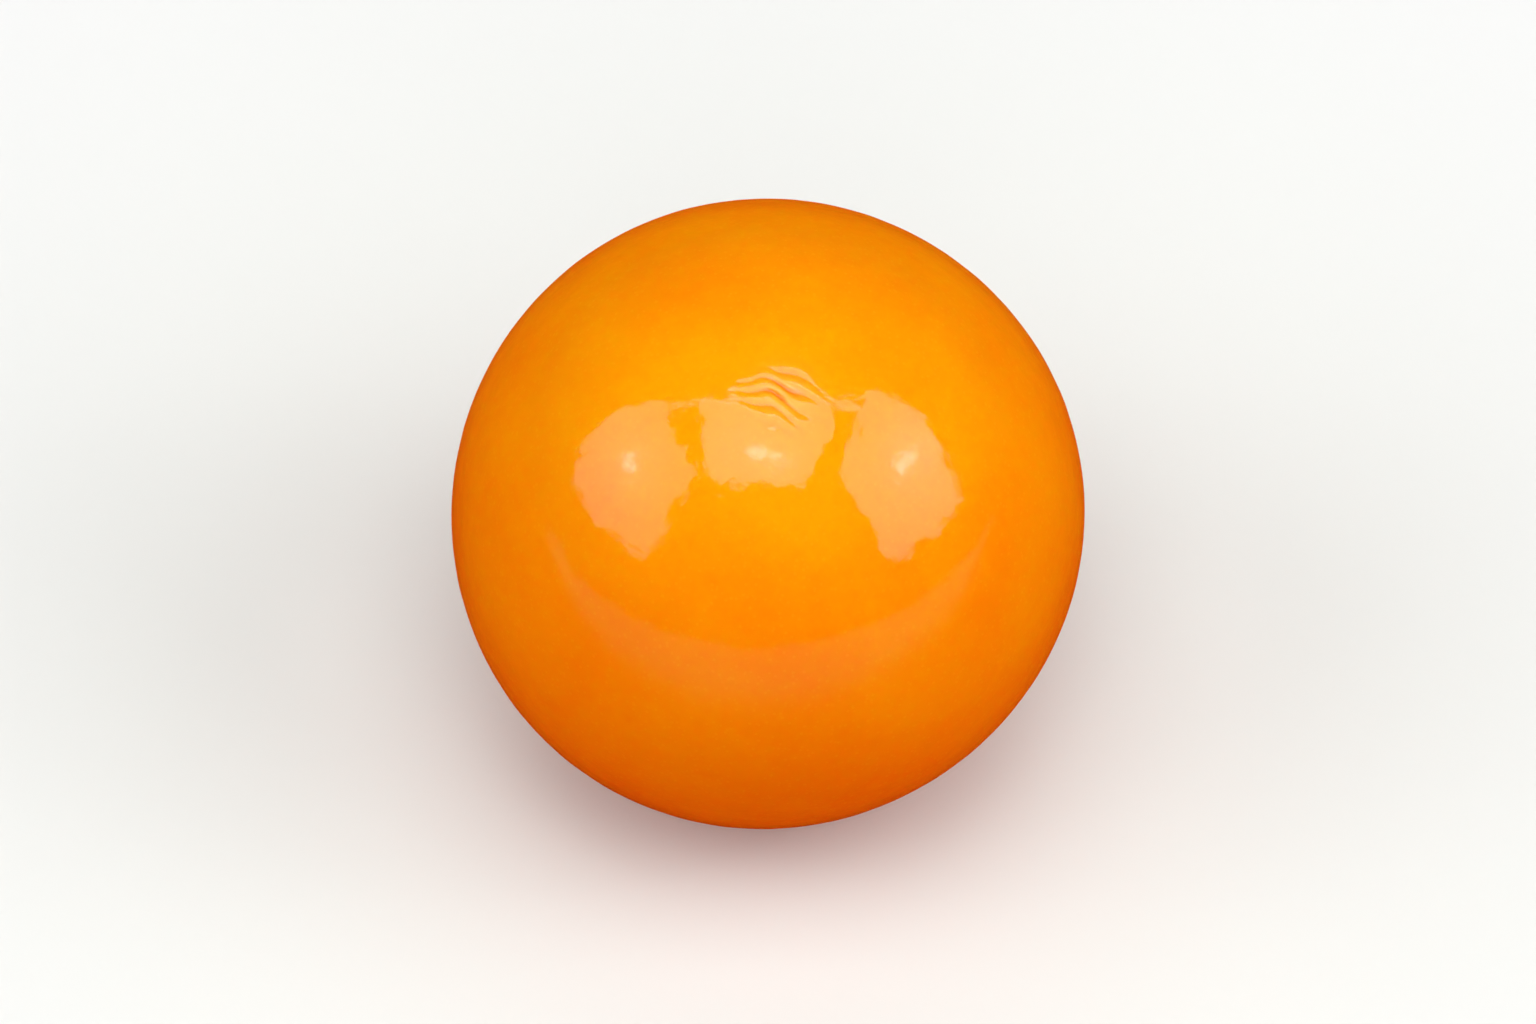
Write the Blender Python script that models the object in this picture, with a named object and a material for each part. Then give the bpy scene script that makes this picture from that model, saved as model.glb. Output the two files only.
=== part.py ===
"""A husk-less physalis berry, one solid, resting on a small flat spot.

The berry is a turned body: a half outline is spun about its stem-to-style axis. Its skin is then
raised and sunk by formula: the shallow shoulder, ring, pleats and button where the husk came off,
the puckered folds where the flower's style stood, and the slight swelling of its two carpels. Last
it is leaned over, cut flat where it rests, and stood with its lowest face at height zero.

Metres, +Z up. The origin is the middle of the berry's box, at the bottom.
"""

import math

import bmesh
import bpy
from mathutils import Matrix, Vector

# Driving dimensions of the whole berry
EQUATOR_RADIUS = 0.01050
POLE_RADIUS = 0.01062
LEAN = math.radians(19.0)
LEAN_TOWARDS = math.radians(-82.0)
REST_RADIUS = 0.0019

# Slow unevenness of the flesh, as shares of the radius
CARPEL_SWELL = 0.0045
CARPEL_TURN = math.radians(25.0)
SIDE_SWELL = 0.0030
SIDE_TURN = math.radians(120.0)

# Stem end: where the husk and its stalk came off
SHOULDER_DEPTH = 0.00028
SHOULDER_REACH = 0.0024
RING_RADIUS = 0.00150
RING_HEIGHT = 0.00016
RING_WIDTH = 0.00024
FLOOR_DEPTH = 0.00020
FLOOR_RADIUS = 0.00122
PLEATS = 10
PLEAT_PLACE = 0.00100
PLEAT_HEIGHT = 0.00004
BUTTON_HEIGHT = 0.00030
BUTTON_RADIUS = 0.00050
BUTTON_PIT = 0.00012
BUTTON_PIT_RADIUS = 0.00020

# Blossom end: the scar of the style
DIMPLE_DEPTH = 0.00010
DIMPLE_RADIUS = 0.00125
FOLD_PITCH = 0.00047
FOLD_OFFSET = 0.00029
FOLD_DEPTH = 0.000040
FOLD_REACH = 0.00085
FOLD_SLANT = math.radians(-33.0)
FOLD_BEND = 350.0
FOLD_SWAY = 0.00009
FOLD_SWAY_WAVES = (3100.0, 4200.0)
FOLD_UNEVENNESS = 0.35
FOLD_UNEVEN_WAVES = (-1900.0, 2700.0)
PIT_DEPTH = 0.00002
PIT_RADIUS = 0.00014

# Fineness of the mesh
TURN_STEPS = 60
OUTLINE_STEPS = 50
POLE_CROWDING = 0.90
SNAP = 0.00004

# Skin finish
SKIN_COLOR = (0.93, 0.27, 0.008, 1.0)
SKIN_ROUGHNESS = 0.22


def bell(distance, width):
    """A smooth bump of height one that fades out at about twice its width."""
    return math.exp(-((distance / width) ** 2))


def plateau(distance, width):
    """A flat-topped bump of height one that falls off smoothly at its width."""
    return math.exp(-((distance / width) ** 4))


def crowded(share):
    """Angle of an outline point from the stem end, with points crowded at both ends."""
    return math.pi * share - 0.5 * POLE_CROWDING * math.sin(2.0 * math.pi * share)


def ellipse_radius(polar):
    """Distance from the centre to a plain ellipsoid, at an angle from the stem end."""
    across = math.sin(polar) / EQUATOR_RADIUS
    along = math.cos(polar) / POLE_RADIUS
    return 1.0 / math.hypot(across, along)


def swell(polar, turn):
    """Share by which the flesh swells to one side, nothing at the two ends."""
    carpels = CARPEL_SWELL * math.cos(2.0 * (turn - CARPEL_TURN))
    side = SIDE_SWELL * math.cos(3.0 * (turn - SIDE_TURN)) * math.sin(polar)
    return (carpels + side) * math.sin(polar) ** 2


def stem_relief(reach, turn):
    """Height of the skin round the stem end, at a distance from it along the skin."""
    shoulder = -SHOULDER_DEPTH * bell(reach, SHOULDER_REACH)
    ring = RING_HEIGHT * bell(reach - RING_RADIUS, RING_WIDTH)
    floor = -FLOOR_DEPTH * plateau(reach, FLOOR_RADIUS)
    pleats = PLEAT_HEIGHT * math.cos(PLEATS * turn) * bell(reach - PLEAT_PLACE, RING_WIDTH)
    button = BUTTON_HEIGHT * plateau(reach, BUTTON_RADIUS)
    pit = -BUTTON_PIT * bell(reach, BUTTON_PIT_RADIUS)
    return shoulder + ring + floor + pleats + button + pit


def fold_valleys(reach, turn):
    """How deep a place near the style's scar lies in the valleys between the slanting folds."""
    across = reach * math.cos(turn - FOLD_SLANT)
    over = reach * math.sin(turn - FOLD_SLANT)
    bent = over + FOLD_OFFSET + FOLD_BEND * min(across, 0.0) ** 2
    bent += FOLD_SWAY * math.sin(FOLD_SWAY_WAVES[0] * across + FOLD_SWAY_WAVES[1] * over)
    valley = (0.5 - 0.5 * math.cos(2.0 * math.pi * bent / FOLD_PITCH)) ** 2
    uneven = math.sin(FOLD_UNEVEN_WAVES[0] * across + FOLD_UNEVEN_WAVES[1] * over)
    return valley * (1.0 + FOLD_UNEVENNESS * uneven) * bell(reach, FOLD_REACH)


def style_relief(reach, turn):
    """Height of the skin round the style's scar: a faint dimple crossed by slanting folds."""
    dimple = -DIMPLE_DEPTH * bell(reach, DIMPLE_RADIUS)
    pit = -PIT_DEPTH * bell(reach, PIT_RADIUS)
    return dimple + pit - FOLD_DEPTH * fold_valleys(reach, turn)


def skin_point(direction):
    """The point of the skin that lies in a direction from the berry's centre."""
    polar = math.acos(max(-1.0, min(1.0, -direction.z)))
    turn = math.atan2(direction.y, direction.x)
    from_stem = EQUATOR_RADIUS * polar
    from_style = EQUATOR_RADIUS * (math.pi - polar)
    radius = ellipse_radius(polar) * (1.0 + swell(polar, turn))
    radius += stem_relief(from_stem, turn) + style_relief(from_style, turn)
    return direction * radius


def spun_ball():
    """A unit ball, spun from half an outline whose points crowd at the two ends."""
    mesh = bmesh.new()
    outline = []
    for step in range(OUTLINE_STEPS + 1):
        polar = crowded(step / OUTLINE_STEPS)
        outline.append(mesh.verts.new((math.sin(polar), 0.0, -math.cos(polar))))
    edges = [mesh.edges.new(pair) for pair in zip(outline, outline[1:])]
    bmesh.ops.spin(
        mesh,
        geom=outline + edges,
        cent=(0.0, 0.0, 0.0),
        axis=(0.0, 0.0, 1.0),
        angle=2.0 * math.pi,
        steps=TURN_STEPS,
    )
    bmesh.ops.remove_doubles(mesh, verts=mesh.verts, dist=1e-5)
    bmesh.ops.recalc_face_normals(mesh, faces=mesh.faces)
    return mesh


def lean_over(mesh):
    """Lean the style's end from straight up towards the side that it faces."""
    axis = Vector((-math.sin(LEAN_TOWARDS), math.cos(LEAN_TOWARDS), 0.0))
    turn = Matrix.Rotation(LEAN, 3, axis)
    bmesh.ops.rotate(mesh, verts=mesh.verts, cent=(0.0, 0.0, 0.0), matrix=turn)


def cut_rest(mesh):
    """Cut the berry flat where it rests, and put that face at height zero."""
    lowest = min(vertex.co.z for vertex in mesh.verts)
    dip = EQUATOR_RADIUS - math.sqrt(EQUATOR_RADIUS**2 - REST_RADIUS**2)
    for vertex in mesh.verts:
        vertex.co.z -= lowest + dip
        if abs(vertex.co.z) < SNAP:
            vertex.co.z = 0.0
    everything = mesh.verts[:] + mesh.edges[:] + mesh.faces[:]
    bmesh.ops.bisect_plane(
        mesh,
        geom=everything,
        dist=1e-7,
        plane_co=(0.0, 0.0, 0.0),
        plane_no=(0.0, 0.0, 1.0),
        clear_inner=True,
    )
    rim = [edge for edge in mesh.edges if edge.is_boundary]
    bmesh.ops.contextual_create(mesh, geom=rim)


def centre_on_box(mesh):
    """Slide the berry sideways so that the middle of its box stands on the origin."""
    for axis in (0, 1):
        values = [vertex.co[axis] for vertex in mesh.verts]
        middle = (min(values) + max(values)) / 2.0
        for vertex in mesh.verts:
            vertex.co[axis] -= middle


def skin_material():
    """Glossy orange skin."""
    material = bpy.data.materials.new("berry_skin")
    material.use_nodes = True
    shader = material.node_tree.nodes["Principled BSDF"]
    shader.inputs["Base Color"].default_value = SKIN_COLOR
    shader.inputs["Roughness"].default_value = SKIN_ROUGHNESS
    shader.inputs["Metallic"].default_value = 0.0
    return material


def build_berry():
    """Make the berry as one closed object."""
    form = spun_ball()
    for vertex in form.verts:
        vertex.co = skin_point(vertex.co.normalized())
    lean_over(form)
    cut_rest(form)
    centre_on_box(form)
    bmesh.ops.triangulate(form, faces=form.faces)
    bmesh.ops.recalc_face_normals(form, faces=form.faces)
    mesh = bpy.data.meshes.new("berry")
    form.to_mesh(mesh)
    form.free()
    mesh.shade_smooth()
    mesh.set_sharp_from_angle(angle=math.radians(40.0))
    mesh.materials.append(skin_material())
    berry = bpy.data.objects.new("berry", mesh)
    bpy.context.scene.collection.objects.link(berry)
    return berry


for leftover in list(bpy.data.objects):
    bpy.data.objects.remove(leftover)
build_berry()
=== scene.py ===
"""The looks of a husk-less physalis berry: its fine skin mesh, its finish and a plain pale studio.

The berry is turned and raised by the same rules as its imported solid, with many more faces, and with
the faint waves and fine pleats that the solid leaves out. Metres, +Z up, in the part's own frame.
"""

from __future__ import annotations

import logging
import math
from dataclasses import dataclass, field
from enum import Enum

import bpy
import numpy as np
from mathutils import Matrix, Vector

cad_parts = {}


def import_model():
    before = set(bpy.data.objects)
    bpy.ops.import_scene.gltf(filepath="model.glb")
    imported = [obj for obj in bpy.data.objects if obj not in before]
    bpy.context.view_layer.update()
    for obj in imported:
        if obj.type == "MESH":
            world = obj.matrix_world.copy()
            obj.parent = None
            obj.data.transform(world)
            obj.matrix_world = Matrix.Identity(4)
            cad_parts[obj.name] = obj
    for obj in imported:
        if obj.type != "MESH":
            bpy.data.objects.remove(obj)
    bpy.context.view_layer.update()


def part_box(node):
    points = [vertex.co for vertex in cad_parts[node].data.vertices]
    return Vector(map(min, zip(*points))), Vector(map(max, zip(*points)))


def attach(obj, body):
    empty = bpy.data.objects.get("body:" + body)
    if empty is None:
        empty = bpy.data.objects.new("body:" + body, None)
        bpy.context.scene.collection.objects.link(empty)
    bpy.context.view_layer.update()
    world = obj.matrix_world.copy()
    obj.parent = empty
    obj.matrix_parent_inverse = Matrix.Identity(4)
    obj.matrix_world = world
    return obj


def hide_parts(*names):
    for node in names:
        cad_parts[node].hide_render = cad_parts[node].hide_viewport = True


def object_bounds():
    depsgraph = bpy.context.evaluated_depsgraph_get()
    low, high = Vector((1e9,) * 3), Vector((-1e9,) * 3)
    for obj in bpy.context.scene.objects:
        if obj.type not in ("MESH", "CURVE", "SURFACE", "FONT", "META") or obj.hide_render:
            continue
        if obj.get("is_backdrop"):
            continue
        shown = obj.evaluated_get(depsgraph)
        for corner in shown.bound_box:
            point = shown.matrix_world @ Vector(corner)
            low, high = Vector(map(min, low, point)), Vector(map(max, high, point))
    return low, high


LOG = logging.getLogger("berry")
VALLEYS = "fold_valleys"
MM = 0.001
SMOOTH_ANGLE = math.radians(40.0)
Color = tuple[float, float, float, float]


def bell(distance: np.ndarray, width: float) -> np.ndarray:
    """A smooth bump of height one that fades out at about twice its width."""
    return np.exp(-((distance / width) ** 2))


def plateau(distance: np.ndarray, width: float) -> np.ndarray:
    """A flat-topped bump of height one that falls off smoothly at its width."""
    return np.exp(-((distance / width) ** 4))


def deselect_all() -> None:
    """Leave nothing selected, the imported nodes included."""
    if bpy.context.object and bpy.context.object.mode != "OBJECT":
        bpy.ops.object.mode_set(mode="OBJECT")
    bpy.ops.object.select_all(action="DESELECT")


@dataclass
class Pose:
    """How the berry lies: which way its blossom end looks, and how much of it is pressed flat."""

    lean: float = math.radians(19.0)
    lean_towards: float = math.radians(-82.0)
    rest_radius: float = 1.9 * MM

    def matrix(self) -> Matrix:
        """Rotation from the berry's own axes, blossom end up, to the way it lies."""
        axis = Vector((-math.sin(self.lean_towards), math.cos(self.lean_towards), 0.0))
        return Matrix.Rotation(self.lean, 4, axis)


@dataclass
class Flesh:
    """The plain round form of the berry, before its scars."""

    equator_radius: float = 10.50 * MM
    pole_radius: float = 10.62 * MM
    carpel_swell: float = 0.0045
    carpel_turn: float = math.radians(25.0)
    side_swell: float = 0.0030
    side_turn: float = math.radians(120.0)

    def radius(self, polar: np.ndarray, turn: np.ndarray) -> np.ndarray:
        """Distance from the centre to the skin.

        Args:
            polar: angles from the stem end.
            turn: angles round the stem-to-style axis.

        Returns:
            The distances, in metres.
        """
        across = np.sin(polar) / self.equator_radius
        along = np.cos(polar) / self.pole_radius
        carpels = self.carpel_swell * np.cos(2.0 * (turn - self.carpel_turn))
        side = self.side_swell * np.cos(3.0 * (turn - self.side_turn)) * np.sin(polar)
        return (1.0 + (carpels + side) * np.sin(polar) ** 2) / np.hypot(across, along)


@dataclass
class StemScar:
    """The stem end: a shallow shoulder, the ring where the husk sat, its pleats and a button."""

    shoulder_depth: float = 0.28 * MM
    shoulder_reach: float = 2.40 * MM
    ring_radius: float = 1.50 * MM
    ring_height: float = 0.16 * MM
    ring_width: float = 0.24 * MM
    floor_depth: float = 0.20 * MM
    floor_radius: float = 1.22 * MM
    pleats: int = 10
    pleat_place: float = 1.00 * MM
    pleat_height: float = 0.04 * MM
    button_height: float = 0.30 * MM
    button_radius: float = 0.50 * MM
    pit_depth: float = 0.12 * MM
    pit_radius: float = 0.20 * MM
    fine_pleats: int = 37
    fine_height: float = 0.009 * MM

    def relief(self, reach: np.ndarray, turn: np.ndarray) -> np.ndarray:
        """Height of the skin round the stem end.

        Args:
            reach: distances from the stem end along the skin.
            turn: angles round the stem-to-style axis.

        Returns:
            Heights over the plain form, in metres.
        """
        shoulder = -self.shoulder_depth * bell(reach, self.shoulder_reach)
        ring = self.ring_height * bell(reach - self.ring_radius, self.ring_width)
        floor = -self.floor_depth * plateau(reach, self.floor_radius)
        place = bell(reach - self.pleat_place, self.ring_width)
        pleats = self.pleat_height * np.cos(self.pleats * turn) * place
        button = self.button_height * plateau(reach, self.button_radius)
        pit = -self.pit_depth * bell(reach, self.pit_radius)
        torn = np.cos(self.fine_pleats * turn + 3.0 * np.sin(4.0 * turn))
        fine = self.fine_height * torn * bell(reach - self.ring_radius, 1.6 * self.ring_width)
        return shoulder + ring + floor + pleats + button + pit + fine


@dataclass
class StyleScar:
    """The blossom end: a faint dimple crossed by slanting folds, with a pit for the style."""

    dimple_depth: float = 0.10 * MM
    dimple_radius: float = 1.25 * MM
    fold_pitch: float = 0.47 * MM
    fold_offset: float = 0.29 * MM
    fold_depth: float = 0.040 * MM
    fold_reach: float = 0.85 * MM
    fold_slant: float = math.radians(-33.0)
    fold_bend: float = 350.0
    fold_sway: float = 0.09 * MM
    fold_sway_waves: tuple[float, float] = (3100.0, 4200.0)
    fold_unevenness: float = 0.35
    fold_uneven_waves: tuple[float, float] = (-1900.0, 2700.0)
    pit_depth: float = 0.02 * MM
    pit_radius: float = 0.14 * MM

    def valleys(self, reach: np.ndarray, turn: np.ndarray) -> np.ndarray:
        """How deep each place lies in the valleys between the folds, from none to about one.

        Args:
            reach: distances from the blossom end along the skin.
            turn: angles round the stem-to-style axis.

        Returns:
            The shares of a valley's full depth.
        """
        across = reach * np.cos(turn - self.fold_slant)
        over = reach * np.sin(turn - self.fold_slant)
        bent = over + self.fold_offset + self.fold_bend * np.minimum(across, 0.0) ** 2
        sway = self.fold_sway_waves[0] * across + self.fold_sway_waves[1] * over
        bent += self.fold_sway * np.sin(sway)
        valley = (0.5 - 0.5 * np.cos(2.0 * math.pi * bent / self.fold_pitch)) ** 2
        uneven = np.sin(self.fold_uneven_waves[0] * across + self.fold_uneven_waves[1] * over)
        return valley * (1.0 + self.fold_unevenness * uneven) * bell(reach, self.fold_reach)

    def relief(self, reach: np.ndarray, turn: np.ndarray) -> np.ndarray:
        """Height of the skin round the blossom end.

        Args:
            reach: distances from the blossom end along the skin.
            turn: angles round the stem-to-style axis.

        Returns:
            Heights over the plain form, in metres.
        """
        dimple = -self.dimple_depth * bell(reach, self.dimple_radius)
        pit = -self.pit_depth * bell(reach, self.pit_radius)
        return dimple + pit - self.fold_depth * self.valleys(reach, turn)


class NodeSketch:
    """Draws one node tree, with short calls for the nodes that the finishes use."""

    def __init__(self, tree: bpy.types.NodeTree) -> None:
        """Start on a tree.

        Args:
            tree: the material's, world's, lamp's or group's node tree.
        """
        self.tree = tree

    def node(self, kind: str, **settings: object) -> bpy.types.Node:
        """Add a node and set its plain properties."""
        made = self.tree.nodes.new(kind)
        for name, value in settings.items():
            setattr(made, name, value)
        return made

    def feed(self, socket: bpy.types.NodeSocket, value: object) -> None:
        """Link a socket to another, or set its plain value."""
        if isinstance(value, bpy.types.NodeSocket):
            self.tree.links.new(value, socket)
        else:
            socket.default_value = value

    def math(self, operation: str, *values: object, clamp: bool = False) -> bpy.types.NodeSocket:
        """A sum on one to three values.

        Args:
            operation: Blender's name of the operation.
            values: sockets or numbers, in order.
            clamp: whether the result is kept between zero and one.

        Returns:
            The result's socket.
        """
        made = self.node("ShaderNodeMath", operation=operation, use_clamp=clamp)
        for socket, value in zip(made.inputs, values):
            self.feed(socket, value)
        return made.outputs[0]

    def ramp(self, value: object, low: float, high: float) -> bpy.types.NodeSocket:
        """Zero below low, one above high and a smooth rise between them; low may be the larger."""
        made = self.node("ShaderNodeMapRange", interpolation_type="SMOOTHSTEP")
        for name, item in (("Value", value), ("From Min", low), ("From Max", high)):
            self.feed(made.inputs[name], item)
        return made.outputs["Result"]

    def spot(self, distance: object, width: float) -> bpy.types.NodeSocket:
        """A smooth spot of height one round distance zero."""
        share = self.math("DIVIDE", distance, width)
        return self.math("EXPONENT", self.math("MULTIPLY", self.math("MULTIPLY", share, share), -1.0))

    def noise(self, vector: object, scale: float, detail: float = 2.0) -> bpy.types.NodeSocket:
        """Smooth noise about one half, on the berry's own axes."""
        made = self.node("ShaderNodeTexNoise")
        self.feed(made.inputs["Vector"], vector)
        self.feed(made.inputs["Scale"], scale)
        self.feed(made.inputs["Detail"], detail)
        return made.outputs[0]

    def mix(self, share: object, low: object, high: object) -> bpy.types.NodeSocket:
        """A colour between two others."""
        made = self.node("ShaderNodeMix", data_type="RGBA")
        self.feed(made.inputs["Factor"], share)
        self.feed(made.inputs[6], low)
        self.feed(made.inputs[7], high)
        return made.outputs[2]

    def group(self, tree: bpy.types.NodeTree, **values: object) -> bpy.types.Node:
        """Place a node group and feed its inputs by name, with _ for a space."""
        made = self.node("ShaderNodeGroup", node_tree=tree)
        for name, value in values.items():
            self.feed(made.inputs[name.replace("_", " ")], value)
        return made


def new_group(name: str, inputs: dict[str, str], outputs: dict[str, str]) -> bpy.types.NodeTree:
    """An empty shader node group with named sockets.

    Args:
        name: the group's name.
        inputs: socket name to kind, such as Float or Vector.
        outputs: the same for its outputs.

    Returns:
        The group, with its input and output nodes in place.
    """
    tree = bpy.data.node_groups.new(name, "ShaderNodeTree")
    for way, sockets in (("INPUT", inputs), ("OUTPUT", outputs)):
        for label, kind in sockets.items():
            tree.interface.new_socket(name=label, in_out=way, socket_type=f"NodeSocket{kind}")
    tree.nodes.new("NodeGroupInput")
    tree.nodes.new("NodeGroupOutput")
    return tree


@dataclass
class OwnAxes:
    """Turns a place on the skin into distances from the two ends and from the side painted as lit, and
    an angle round the axis.
    """

    pose: Pose
    centre: Vector
    radius: float
    # Painted light: the side taken as lit, up and a little towards the camera, in the studio's frame.
    lit_side: Vector = field(default_factory=lambda: Vector((0.04, -0.43, 0.90)))
    lit_side_narrowing: float = 0.50

    def group(self) -> bpy.types.NodeTree:
        """Build the group once; its outputs vary over the skin and are in millimetres.

        Returns:
            The group, with the outputs Own, From Stem, From Style, From Cheek and Turn.
        """
        distances = ("From Stem", "From Style", "From Lit Side", "Turn")
        tree = new_group("own_axes", {}, {"Own": "Vector"} | dict.fromkeys(distances, "Float"))
        draw = NodeSketch(tree)
        place = draw.node("ShaderNodeTexCoord").outputs["Object"]
        mapping = draw.node("ShaderNodeMapping", vector_type="TEXTURE")
        mapping.inputs["Location"].default_value = self.centre
        mapping.inputs["Rotation"].default_value = self.pose.matrix().to_euler("XYZ")
        mapping.inputs["Scale"].default_value = (self.radius,) * 3
        draw.feed(mapping.inputs["Vector"], place)
        unit = draw.node("ShaderNodeVectorMath", operation="NORMALIZE")
        draw.feed(unit.inputs[0], mapping.outputs[0])
        parts = draw.node("ShaderNodeSeparateXYZ")
        draw.feed(parts.inputs[0], unit.outputs[0])
        x, y, z = parts.outputs
        polar = draw.math("ARCCOSINE", draw.math("MULTIPLY", z, -1.0))
        scale = self.radius / MM
        out = tree.nodes["Group Output"]
        draw.feed(out.inputs["Own"], mapping.outputs[0])
        draw.feed(out.inputs["From Stem"], draw.math("MULTIPLY", polar, scale))
        rest = draw.math("SUBTRACT", math.pi, polar)
        draw.feed(out.inputs["From Style"], draw.math("MULTIPLY", rest, scale))
        draw.feed(out.inputs["Turn"], draw.math("ARCTAN2", y, x))
        squeezed = draw.node("ShaderNodeVectorMath", operation="MULTIPLY")
        draw.feed(squeezed.inputs[0], unit.outputs[0])
        squeezed.inputs[1].default_value = (self.lit_side_narrowing, 1.0, 1.0)
        narrowed = draw.node("ShaderNodeVectorMath", operation="NORMALIZE")
        draw.feed(narrowed.inputs[0], squeezed.outputs[0])
        facing = draw.node("ShaderNodeVectorMath", operation="DOT_PRODUCT")
        draw.feed(facing.inputs[0], narrowed.outputs[0])
        facing.inputs[1].default_value = self.pose.matrix().transposed() @ self.lit_side.normalized()
        aside = draw.math("ARCCOSINE", facing.outputs["Value"])
        draw.feed(out.inputs["From Lit Side"], draw.math("MULTIPLY", aside, scale))
        return tree


def speckle_group() -> bpy.types.NodeTree:
    """Small round specks scattered over the skin, fewer where the amount is low.

    Returns:
        The group, with the inputs Place, Fineness, Size and Amount and the output Specks.
    """
    inputs = {"Place": "Vector", "Fineness": "Float", "Size": "Float", "Amount": "Float"}
    tree = new_group("speckle", inputs, {"Specks": "Float"})
    draw = NodeSketch(tree)
    given = tree.nodes["Group Input"].outputs
    cells = draw.node("ShaderNodeTexVoronoi")
    draw.feed(cells.inputs["Vector"], given["Place"])
    draw.feed(cells.inputs["Scale"], given["Fineness"])
    inner = draw.math("MULTIPLY", given["Size"], 0.4)
    dots = draw.ramp(cells.outputs["Distance"], given["Size"], inner)
    chance = draw.node("ShaderNodeSeparateColor")
    draw.feed(chance.inputs[0], cells.outputs["Color"])
    chosen = draw.math("LESS_THAN", chance.outputs[0], given["Amount"])
    draw.feed(tree.nodes["Group Output"].inputs["Specks"], draw.math("MULTIPLY", dots, chosen))
    return tree


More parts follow.
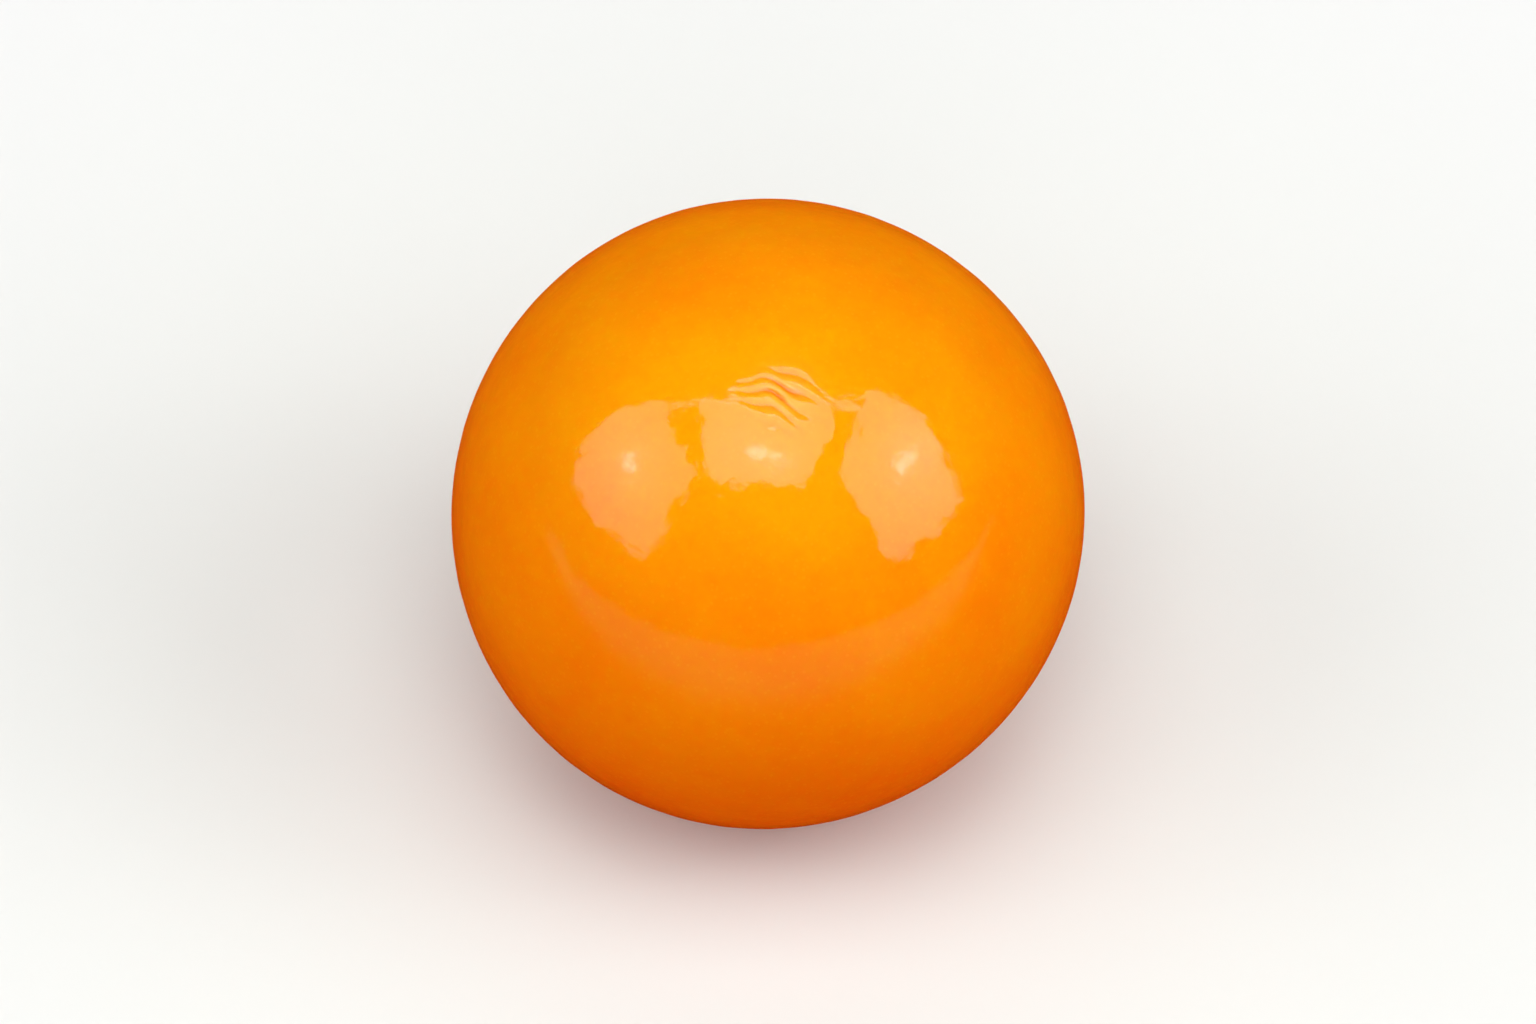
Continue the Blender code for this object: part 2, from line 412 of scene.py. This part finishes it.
@dataclass(frozen=True)
class SkinFinish:
    """Glossy, slightly translucent orange skin, with a corky stem scar and a puckered style scar, and
    with painted light and shade in its colour.

    A share says how strongly a colour covers what is under it. A band is a pair of distances along
    the skin, in millimetres, between which an effect grows from nothing to its whole share.
    """

    # Painted light and shade: the skin runs from a lit yellow-gold to a shaded deeper orange.
    painted_lit_golden: Color = (0.93, 0.368, 0.0006, 1.0)
    orange: Color = (0.89, 0.155, 0.0004, 1.0)
    speck: Color = (0.98, 0.46, 0.020, 1.0)
    vein: Color = (0.97, 0.42, 0.015, 1.0)
    halo: Color = (0.86, 0.44, 0.045, 1.0)
    cork: Color = (0.80, 0.49, 0.17, 1.0)
    husk_tan: Color = (0.50, 0.26, 0.05, 1.0)
    style_brown: Color = (0.30, 0.09, 0.012, 1.0)
    # Painted shade: the colour of the fold valleys, a deeper orange as if shaded.
    fold_valley_shade: Color = (0.88, 0.240, 0.0004, 1.0)
    # Partly the pale tissue of the blossom end, partly a painted highlight of the lamps on its folds.
    fold_pale_and_highlight: Color = (0.98, 0.52, 0.060, 1.0)
    roughness: float = 0.05
    cork_roughness: float = 0.62
    coat: float = 0.35
    coat_roughness: float = 0.03
    index: float = 1.38
    subsurface: float = 0.85
    subsurface_scale: float = 2.2 * MM
    subsurface_radius: tuple[float, float, float] = (1.0, 0.42, 0.08)
    bump: float = 0.010 * MM
    # Painted shade: deeper orange grows over these bands away from the lit side, and more on the far
    # side.
    painted_shade_band: tuple[float, float] = (1.5, 7.0)
    painted_shade_share: float = 0.43
    far_painted_shade_band: tuple[float, float] = (10.0, 16.0)
    far_painted_shade_share: float = 0.22
    cloud_share: float = 0.7
    grain_share: float = 0.22
    speck_share: float = 0.16
    vein_share: float = 0.30
    vein_band: tuple[float, float] = (15.0, 2.2)
    halo_share: float = 0.75
    halo_width: float = 1.1
    scar_share: float = 0.92
    stem_pit_share: float = 0.85
    pucker_pale_and_highlight_share: float = 0.40
    valley_shade_share: float = 0.95
    dot_share: float = 0.18
    dot_wear: float = 0.3
    grain_roughness: float = 0.03
    husk_share: float = 0.65

    def material(self, axes: OwnAxes, stem: StemScar, style: StyleScar) -> bpy.types.Material:
        """Build the material.

        Args:
            axes: the berry's own axes, which every pattern follows.
            stem: the stem end's sizes.
            style: the blossom end's sizes.

        Returns:
            The finished material.
        """
        material = bpy.data.materials.new("berry_skin")
        material.use_nodes = True
        draw = NodeSketch(material.node_tree)
        shader = material.node_tree.nodes["Principled BSDF"]
        place = draw.group(axes.group())
        own = place.outputs["Own"]
        from_stem = place.outputs["From Stem"]
        from_style = place.outputs["From Style"]
        turn = place.outputs["Turn"]
        speckle = speckle_group()

        clouds = draw.noise(own, 2.6, 3.0)
        grain = draw.noise(own, 22.0, 4.0)
        specks = draw.group(speckle, Place=own, Fineness=46.0, Size=0.34, Amount=0.75).outputs[0]
        # Painted light and shade: yellow-gold where the light falls, deeper orange away from it.
        color = self.tone_and_painted_light_color(draw, place.outputs["From Lit Side"], clouds, grain)
        color = draw.mix(draw.math("MULTIPLY", specks, self.speck_share), color, self.speck)
        veins = self.veins(draw, own, turn, from_stem)
        color = draw.mix(draw.math("MULTIPLY", veins, self.vein_share), color, self.vein)

        ring = stem.ring_radius / MM
        halo = draw.spot(draw.math("SUBTRACT", from_stem, ring), self.halo_width)
        color = draw.mix(draw.math("MULTIPLY", halo, self.halo_share), color, self.halo)
        scar = draw.ramp(from_stem, ring + 0.12, ring - 0.15)
        cork = self.cork_color(draw, own, turn, from_stem, stem)
        color = draw.mix(draw.math("MULTIPLY", scar, self.scar_share), color, cork)
        pit = draw.spot(from_stem, 1.5 * stem.pit_radius / MM)
        color = draw.mix(draw.math("MULTIPLY", pit, self.stem_pit_share), color, self.style_brown)

        # Partly the pale tissue round the blossom end, partly a painted highlight where its folds catch
        # the lamps.
        puckered = draw.spot(from_style, style.fold_reach / MM)
        color = draw.mix(draw.math("MULTIPLY", puckered, self.pucker_pale_and_highlight_share), color, self.fold_pale_and_highlight)
        # Painted shade: the fold valleys are coloured deeper orange, as if shaded.
        valleys = draw.node("ShaderNodeAttribute", attribute_name=VALLEYS).outputs["Fac"]
        deep = draw.math("MULTIPLY", valleys, self.valley_shade_share, clamp=True)
        color = draw.mix(deep, color, self.fold_valley_shade)
        dot = draw.spot(from_style, style.pit_radius / MM)
        color = draw.mix(draw.math("MULTIPLY", dot, self.dot_share), color, self.style_brown)
        draw.feed(shader.inputs["Base Color"], color)

        worn = draw.math("MAXIMUM", scar, draw.math("MULTIPLY", dot, self.dot_wear))
        smooth = draw.math("ADD", self.roughness, draw.math("MULTIPLY", grain, self.grain_roughness))
        span = draw.math("SUBTRACT", self.cork_roughness, smooth)
        draw.feed(shader.inputs["Roughness"], draw.math("MULTIPLY_ADD", worn, span, smooth))
        bare = draw.math("SUBTRACT", 1.0, worn)
        draw.feed(shader.inputs["Coat Weight"], draw.math("MULTIPLY", bare, self.coat))
        height = draw.math("MULTIPLY_ADD", draw.noise(own, 75.0, 3.0), 0.12, draw.noise(own, 24.0, 2.0))
        height = draw.math("MULTIPLY_ADD", specks, 0.05, height)
        rough = draw.math("MULTIPLY", draw.noise(own, 120.0, 5.0), 0.7)
        height = draw.math("MULTIPLY_ADD", scar, rough, height)
        bump = draw.node("ShaderNodeBump")
        draw.feed(bump.inputs["Height"], height)
        bump.inputs["Distance"].default_value = self.bump
        draw.feed(shader.inputs["Normal"], bump.outputs[0])
        self.set_constants(shader)
        return material

    def tone_and_painted_light_color(
        self,
        draw: NodeSketch,
        from_lit_side: bpy.types.NodeSocket,
        clouds: bpy.types.NodeSocket,
        grain: bpy.types.NodeSocket,
    ) -> bpy.types.NodeSocket:
        """Painted light and shade: yellow-gold on the side facing up and to the front, where the light
        falls, deeper orange away from it and more so on the far side, softly clouded.
        """
        shade_and_tone = draw.math("MULTIPLY", draw.ramp(from_lit_side, *self.painted_shade_band), self.painted_shade_share)
        far = draw.ramp(from_lit_side, *self.far_painted_shade_band)
        shade_and_tone = draw.math("MULTIPLY_ADD", far, self.far_painted_shade_share, shade_and_tone)
        cloudy = draw.math("MULTIPLY", draw.math("SUBTRACT", clouds, 0.5), self.cloud_share)
        shade_and_tone = draw.math("ADD", shade_and_tone, cloudy)
        fine = draw.math("MULTIPLY", draw.math("SUBTRACT", grain, 0.5), self.grain_share)
        return draw.mix(draw.math("ADD", shade_and_tone, fine, clamp=True), self.painted_lit_golden, self.orange)

    def veins(
        self,
        draw: NodeSketch,
        own: bpy.types.NodeSocket,
        turn: bpy.types.NodeSocket,
        from_stem: bpy.types.NodeSocket,
    ) -> bpy.types.NodeSocket:
        """Thin pale veins that fan out from the stem end under the skin and fade away."""
        waver = draw.math("MULTIPLY", draw.noise(own, 4.0, 4.0), 5.0)
        phase = draw.math("MULTIPLY_ADD", turn, 11.0, waver)
        wave = draw.math("ABSOLUTE", draw.math("SINE", phase))
        line = draw.ramp(wave, 0.16, 0.0)
        broken = draw.ramp(draw.noise(own, 7.0, 2.0), 0.36, 0.60)
        fade = draw.ramp(from_stem, *self.vein_band)
        return draw.math("MULTIPLY", draw.math("MULTIPLY", line, broken), fade)

    def cork_color(
        self,
        draw: NodeSketch,
        own: bpy.types.NodeSocket,
        turn: bpy.types.NodeSocket,
        from_stem: bpy.types.NodeSocket,
        stem: StemScar,
    ) -> bpy.types.NodeSocket:
        """Pale corky tissue, browner in patches, in the pleats' seams and round the button."""
        patchy = draw.ramp(draw.noise(own, 40.0, 5.0), 0.36, 0.72)
        phase = draw.math("MULTIPLY_ADD", turn, stem.pleats / 2.0, draw.noise(own, 16.0, 3.0))
        wave = draw.math("ABSOLUTE", draw.math("SINE", phase))
        seams = draw.ramp(wave, 0.40, 0.0)
        rim = draw.spot(draw.math("SUBTRACT", from_stem, stem.button_radius / MM), 0.13)
        seams = draw.math("MULTIPLY", seams, draw.ramp(from_stem, 0.5, 0.9))
        lines = draw.math("MAXIMUM", seams, rim)
        brown = draw.math("MAXIMUM", draw.math("MULTIPLY", patchy, 0.8), lines)
        return draw.mix(draw.math("MULTIPLY", brown, self.husk_share), self.cork, self.husk_tan)

    def set_constants(self, shader: bpy.types.Node) -> None:
        """Set what is the same all over the skin on the shader's own sockets."""
        constants = {
            "Metallic": 0.0,
            "IOR": self.index,
            "Coat Roughness": self.coat_roughness,
            "Coat IOR": self.index,
            "Subsurface Weight": self.subsurface,
            "Subsurface Scale": self.subsurface_scale,
            "Subsurface Radius": self.subsurface_radius,
        }
        for name, value in constants.items():
            shader.inputs[name].default_value = value


@dataclass
class Berry:
    """The whole fruit: one closed skin, spun, raised by formula, leaned and cut where it rests."""

    flesh: Flesh = field(default_factory=Flesh)
    stem: StemScar = field(default_factory=StemScar)
    style: StyleScar = field(default_factory=StyleScar)
    pose: Pose = field(default_factory=Pose)
    finish: SkinFinish = field(default_factory=SkinFinish)
    outline_steps: int = 230
    turn_steps: int = 360
    pole_crowding: float = 0.90
    wave_size: float = 0.9 * MM
    wave_height: float = 0.022 * MM

    def outline_polars(self) -> np.ndarray:
        """Angles of the outline's points from the stem end, crowded at both ends."""
        share = np.linspace(0.0, 1.0, self.outline_steps + 1)
        return math.pi * share - 0.5 * self.pole_crowding * np.sin(2.0 * math.pi * share)

    def spin_form(self) -> bpy.types.Object:
        """Spin half an outline into a ball of unit radius.

        Returns:
            The ball, with its stem end down.
        """
        deselect_all()
        bpy.ops.mesh.primitive_circle_add(vertices=2 * self.outline_steps, radius=1.0)
        body = bpy.context.object
        body.name = body.data.name = "berry_skin"
        bpy.ops.object.mode_set(mode="EDIT")
        bpy.ops.mesh.select_all(action="DESELECT")
        bpy.ops.object.mode_set(mode="OBJECT")
        for vertex in body.data.vertices:
            vertex.select = vertex.co.x < -1e-4
        bpy.ops.object.mode_set(mode="EDIT")
        bpy.ops.mesh.delete(type="VERT")
        bpy.ops.object.mode_set(mode="OBJECT")
        order = sorted(body.data.vertices, key=lambda vertex: vertex.co.y)
        for vertex, polar in zip(order, self.outline_polars()):
            vertex.co = (math.sin(polar), 0.0, -math.cos(polar))
        bpy.ops.object.mode_set(mode="EDIT")
        bpy.ops.mesh.select_all(action="SELECT")
        bpy.ops.mesh.spin(
            steps=self.turn_steps, angle=2.0 * math.pi, center=(0.0, 0.0, 0.0), axis=(0.0, 0.0, 1.0)
        )
        bpy.ops.mesh.select_all(action="SELECT")
        bpy.ops.mesh.remove_doubles(threshold=1e-6)
        bpy.ops.mesh.normals_make_consistent(inside=False)
        bpy.ops.object.mode_set(mode="OBJECT")
        return body

    def raise_skin(self, body: bpy.types.Object) -> None:
        """Move every point of the unit ball out to the skin, scars included."""
        points = np.empty(3 * len(body.data.vertices))
        body.data.vertices.foreach_get("co", points)
        points = points.reshape(-1, 3)
        points /= np.linalg.norm(points, axis=1, keepdims=True)
        polar = np.arccos(np.clip(-points[:, 2], -1.0, 1.0))
        turn = np.arctan2(points[:, 1], points[:, 0])
        radius = self.flesh.radius(polar, turn)
        radius += self.stem.relief(self.flesh.equator_radius * polar, turn)
        from_style = self.flesh.equator_radius * (math.pi - polar)
        radius += self.style.relief(from_style, turn)
        body.data.vertices.foreach_set("co", (points * radius[:, None]).ravel())
        valleys = body.data.attributes.new(VALLEYS, "FLOAT", "POINT")
        valleys.data.foreach_set("value", self.style.valleys(from_style, turn))
        body.data.update()

    def ripple(self, body: bpy.types.Object) -> None:
        """Give the skin the faint unevenness that makes its reflections waver."""
        waves = bpy.data.textures.new("skin_waves", "CLOUDS")
        waves.noise_scale = self.wave_size
        waves.noise_depth = 1
        displace = body.modifiers.new("waves", "DISPLACE")
        displace.texture = waves
        displace.texture_coords = "LOCAL"
        displace.strength = self.wave_height
        displace.mid_level = 0.5
        bpy.ops.object.modifier_apply(modifier=displace.name)

    def lay_down(self, body: bpy.types.Object) -> None:
        """Lean the berry, stand it in its node's box and cut it flat where it rests."""
        body.rotation_mode = "QUATERNION"
        body.rotation_quaternion = self.pose.matrix().to_quaternion()
        bpy.ops.object.transform_apply(location=False, rotation=True, scale=True)
        corners = [Vector(corner) for corner in body.bound_box]
        low = Vector(tuple(min(corner[i] for corner in corners) for i in range(3)))
        high = Vector(tuple(max(corner[i] for corner in corners) for i in range(3)))
        node_low, node_high = (Vector(corner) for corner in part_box("berry"))
        shift = (node_low + node_high - low - high) / 2.0
        dip = self.flesh.equator_radius
        dip -= math.sqrt(self.flesh.equator_radius**2 - self.pose.rest_radius**2)
        shift.z = node_low.z - low.z - dip
        body.location = shift
        bpy.ops.object.transform_apply(location=True, rotation=False, scale=False)
        bpy.ops.object.mode_set(mode="EDIT")
        bpy.ops.mesh.select_all(action="SELECT")
        bpy.ops.mesh.bisect(
            plane_co=(0.0, 0.0, node_low.z),
            plane_no=(0.0, 0.0, 1.0),
            use_fill=True,
            clear_inner=True,
            threshold=1e-7,
        )
        bpy.ops.object.mode_set(mode="OBJECT")

    def build(self) -> bpy.types.Object:
        """Make the berry's mesh and dress it.

        Returns:
            The finished piece.
        """
        body = self.spin_form()
        self.raise_skin(body)
        self.ripple(body)
        self.lay_down(body)
        deselect_all()
        body.select_set(True)
        bpy.context.view_layer.objects.active = body
        bpy.ops.object.shade_smooth_by_angle(angle=SMOOTH_ANGLE)
        low, high = (Vector(corner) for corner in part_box("berry"))
        centre = Vector(
            ((low.x + high.x) / 2.0, (low.y + high.y) / 2.0, high.z - self.flesh.pole_radius)
        )
        axes = OwnAxes(self.pose, centre, self.flesh.equator_radius)
        body.data.materials.clear()
        body.data.materials.append(self.finish.material(axes, self.stem, self.style))
        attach(body, "root")
        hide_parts("berry")
        LOG.info("berry skin: %d faces", len(body.data.polygons))
        return body


class LampShape(Enum):
    """Outline of a softbox's frame."""

    SQUARE = "SQUARE"
    STRIP = "RECTANGLE"
    DISK = "DISK"


@dataclass(frozen=True)
class Softbox:
    """One soft studio lamp, even or with glows, whole or trimmed to an outline, facing the berry.

    The place where its reflection shows is in shares of the berry's radius. A trim cuts the lamp's
    face off beyond a reach, in metres from its middle, in a direction given in degrees. A glow is a
    brighter spot: how far right of and over the middle it is, how much it adds, and its width.
    Ragged is how far the trims waver, in metres.
    """

    name: str
    seen_at: tuple[float, float]
    size: float
    brightness: float
    trims: tuple[tuple[float, float], ...] = ()
    shape: LampShape = LampShape.SQUARE
    glows: tuple[tuple[float, float, float, float], ...] = ()
    ragged: float = 0.0
    distance: float = 0.70
    strip_width: float = 0.0
    mirrored: bool = True

    def way(self, elevation: float) -> Vector:
        """Direction from the berry to the lamp, from where its reflection shows on the berry.

        Args:
            elevation: the camera's angle above the floor.

        Returns:
            The direction, of length one.
        """
        back = Vector((0.0, -math.cos(elevation), math.sin(elevation)))
        up = Vector((0.0, math.sin(elevation), math.cos(elevation)))
        right, over = self.seen_at
        facing = math.sqrt(1.0 - right**2 - over**2)
        normal = Vector((right, 0.0, 0.0)) + over * up + facing * back
        return 2.0 * facing * normal - back

    def strength(self, draw: NodeSketch) -> bpy.types.NodeSocket | float:
        """Brightness over the lamp's face: even but for its glows, and nothing past the trims."""
        if not self.glows and not self.trims:
            return self.brightness
        parts = draw.node("ShaderNodeSeparateXYZ")
        place = draw.node("ShaderNodeNewGeometry").outputs["Parametric"]
        draw.feed(parts.inputs[0], place)
        x, y = (
            draw.math("MULTIPLY", draw.math("SUBTRACT", parts.outputs[i], 0.5), self.size)
            for i in (0, 1)
        )
        strength = self.brightness
        for right, over, level, width in self.glows:
            aside, above = draw.math("SUBTRACT", x, right), draw.math("SUBTRACT", y, over)
            square = draw.math("MULTIPLY_ADD", aside, aside, draw.math("MULTIPLY", above, above))
            glow = draw.spot(draw.math("SQRT", square), width)
            strength = draw.math("MULTIPLY_ADD", glow, level, strength)
        waver = draw.math("SUBTRACT", draw.noise(place, 12.0, 0.0), 0.5)
        for degrees, reach in self.trims:
            angle = math.radians(degrees)
            side = draw.math("MULTIPLY", y, math.sin(angle))
            side = draw.math("MULTIPLY_ADD", x, math.cos(angle), side)
            side = draw.math("MULTIPLY_ADD", waver, self.ragged, side)
            inside = draw.math("LESS_THAN", side, reach)
            strength = draw.math("MULTIPLY", strength, inside)
        return strength

    def place(self, target: Vector, elevation: float) -> bpy.types.Object:
        """Put the lamp up.

        Args:
            target: the point that the lamp faces.
            elevation: the camera's angle above the floor.

        Returns:
            The lamp.
        """
        data = bpy.data.lights.new(self.name, "AREA")
        data.shape = self.shape.value
        data.size = self.size
        area = self.size**2
        if self.shape is LampShape.DISK:
            area *= math.pi / 4.0
        if self.shape is LampShape.STRIP:
            data.size_y = self.strip_width
            area = self.size * self.strip_width
        data.energy = math.pi * area
        data.use_nodes = True
        draw = NodeSketch(data.node_tree)
        draw.feed(data.node_tree.nodes["Emission"].inputs["Strength"], self.strength(draw))
        lamp = bpy.data.objects.new(self.name, data)
        bpy.context.scene.collection.objects.link(lamp)
        lamp.visible_glossy = self.mirrored
        way = self.way(elevation)
        level = (Vector((1.0, 0.0, 0.0)) - way * way.x).normalized()
        axes = Matrix((level, way.cross(level), way)).transposed().to_4x4()
        lamp.matrix_world = Matrix.Translation(target + way * self.distance) @ axes
        return lamp


RAGGED = 0.06
LEFT_TRIMS = (
    (21, 0.238),
    (81, 0.258),
    (120, 0.258),
    (145, 0.272),
    (190, 0.276),
    (214, 0.276),
    (313, 0.312),
)
TOP_TRIMS = (
    (13, 0.325),
    (93, 0.262),
    (180, 0.265),
    (230, 0.237),
    (268, 0.172),
    (317, 0.255),
    (348, 0.262),
)
RIGHT_TRIMS = ((40, 0.225), (62, 0.242), (87, 0.297), (162, 0.262), (233, 0.292), (328, 0.309))

LEFT_GLOWS = ((0.0, 0.0, 0.8, 0.20), (0.0, 0.0, 6.5, 0.032))
TOP_GLOWS = ((0.0, 0.0, 1.0, 0.20), (0.0, 0.0, 7.0, 0.032), (0.075, -0.030, 6.0, 0.030))
RIGHT_GLOWS = (
    (0.0, 0.0, 0.8, 0.20),
    (0.10, 0.11, 0.8, 0.13),
    (-0.01, -0.01, 9.0, 0.030),
    (0.02, 0.045, 6.0, 0.028),
)


@dataclass
class Studio:
    """The pale floor, the white surroundings, the softboxes and the camera."""

    target: Vector
    elevation: float = math.radians(50.0)
    camera_distance: float = 0.44
    lens: float = 310.0
    floor_size: float = 6.0
    # Painted light: as mirrored in the berry and as it lights the berry, the floor is painted in warm
    # tones, as if other berries stood round; close to the berry it is painted a little less red,
    # against the orange the berry throws on it.
    floor_seen: Color = (0.82, 0.82, 0.82, 1.0)
    floor_close: Color = (0.785, 0.805, 0.775, 1.0)
    floor_mirrored: Color = (0.60, 0.10, 0.004, 1.0)
    floor_front: Color = (0.42, 0.36, 0.20, 1.0)
    floor_lighting: Color = (0.56, 0.21, 0.035, 1.0)
    around_seen: Color = (1.0, 1.0, 1.0, 1.0)
    around_mirrored: Color = (0.20, 0.06, 0.010, 1.0)
    around_lighting: Color = (0.16, 0.16, 0.16, 1.0)
    fade: tuple[float, float] = (0.05, 0.50)
    front_band: tuple[float, float] = (-0.025, -0.060)
    close_band: tuple[float, float] = (0.06, 0.012)
    floor_roughness: float = 0.9
    lamps: tuple[Softbox, ...] = (
        Softbox(
            "left_softbox",
            (-0.427, 0.156),
            0.82,
            1.62,
            trims=LEFT_TRIMS,
            glows=LEFT_GLOWS,
            ragged=RAGGED,
        ),
        Softbox(
            "top_softbox",
            (-0.017, 0.201),
            0.60,
            2.2,
            trims=TOP_TRIMS,
            glows=TOP_GLOWS,
            ragged=RAGGED,
        ),
        Softbox(
            "right_softbox",
            (0.426, 0.142),
            0.82,
            2.1,
            trims=RIGHT_TRIMS,
            glows=RIGHT_GLOWS,
            ragged=RAGGED,
        ),
        Softbox(
            "joining_strip",
            (0.0, 0.368),
            0.92,
            4.2,
            shape=LampShape.STRIP,
            strip_width=0.014,
        ),
        Softbox(
            "front_fill",
            (0.03, -0.05),
            1.00,
            1.45,
            shape=LampShape.DISK,
            distance=1.10,
            mirrored=False,
        ),
        Softbox(
            "back_fill",
            (0.0, 0.793),
            1.00,
            0.95,
            shape=LampShape.DISK,
            distance=1.10,
            mirrored=False,
        ),
    )

    def by_ray(
        self, draw: NodeSketch, seen: object, mirrored: object, lighting: object
    ) -> bpy.types.NodeSocket:
        """A colour that differs for what is seen, what is mirrored and what lights the berry."""
        rays = draw.node("ShaderNodeLightPath").outputs
        color = draw.mix(rays["Is Glossy Ray"], lighting, mirrored)
        return draw.mix(rays["Is Camera Ray"], color, seen)

    def floor(self) -> bpy.types.Object:
        """A pale floor that the berry rests on and that melts into the white far off; what the berry
        mirrors of it and is lit by from it is painted in warm tones.
        """
        deselect_all()
        bpy.ops.mesh.primitive_plane_add(size=self.floor_size, location=(0.0, 0.0, 0.0))
        floor = bpy.context.object
        floor.name = "floor"
        material = bpy.data.materials.new("floor")
        material.use_nodes = True
        shader = material.node_tree.nodes["Principled BSDF"]
        draw = NodeSketch(material.node_tree)
        place = draw.node("ShaderNodeTexCoord").outputs["Object"]
        away = draw.node("ShaderNodeVectorMath", operation="LENGTH")
        draw.feed(away.inputs[0], place)
        far = draw.ramp(away.outputs["Value"], *self.fade)
        parts = draw.node("ShaderNodeSeparateXYZ")
        draw.feed(parts.inputs[0], place)
        front = draw.ramp(parts.outputs[1], *self.front_band)
        mirrored = draw.mix(front, self.floor_mirrored, self.floor_front)
        close = draw.ramp(away.outputs["Value"], *self.close_band)
        seen = draw.mix(close, self.floor_seen, self.floor_close)
        seen = draw.mix(far, seen, (0.0, 0.0, 0.0, 1.0))
        draw.feed(shader.inputs["Base Color"], self.by_ray(draw, seen, mirrored, self.floor_lighting))
        camera = draw.node("ShaderNodeLightPath").outputs["Is Camera Ray"]
        draw.feed(shader.inputs["Emission Strength"], draw.math("MULTIPLY", camera, far))
        shader.inputs["Emission Color"].default_value = self.around_seen
        shader.inputs["Roughness"].default_value = self.floor_roughness
        shader.inputs["Specular IOR Level"].default_value = 0.0
        floor.data.materials.append(material)
        floor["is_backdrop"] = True
        return floor

    def surroundings(self) -> bpy.types.World:
        """White surroundings, dimmer as a light than as a backdrop, and painted dark orange where the
        berry mirrors them.
        """
        world = bpy.data.worlds.new("studio")
        bpy.context.scene.world = world
        world.use_nodes = True
        draw = NodeSketch(world.node_tree)
        color = self.by_ray(draw, self.around_seen, self.around_mirrored, self.around_lighting)
        draw.feed(world.node_tree.nodes["Background"].inputs["Color"], color)
        return world

    def camera(self) -> bpy.types.Object:
        """The camera, looking down on the berry from the front."""
        data = bpy.data.cameras.new("camera")
        data.lens = self.lens
        data.clip_start = 0.01
        camera = bpy.data.objects.new("camera", data)
        bpy.context.scene.collection.objects.link(camera)
        back = Vector((0.0, -math.cos(self.elevation), math.sin(self.elevation)))
        camera.location = self.target + back * self.camera_distance
        camera.rotation_euler = back.to_track_quat("Z", "Y").to_euler()
        bpy.context.scene.camera = camera
        return camera

    def build(self) -> None:
        """Set the whole studio up round the berry."""
        self.floor()
        self.surroundings()
        self.camera()
        for lamp in self.lamps:
            lamp.place(self.target, self.elevation)
        bpy.context.scene.view_settings.view_transform = "Standard"
        LOG.info("studio: %d softboxes", len(self.lamps))


def main() -> None:
    """Load the frame, build the berry in its node's box and set the studio round the berry's own box.
    """
    logging.basicConfig(level=logging.INFO, format="%(name)s: %(message)s")
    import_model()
    Berry().build()
    low, high = (Vector(corner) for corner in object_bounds())
    Studio(target=(low + high) / 2.0).build()


if __name__ == "__main__":
    main()
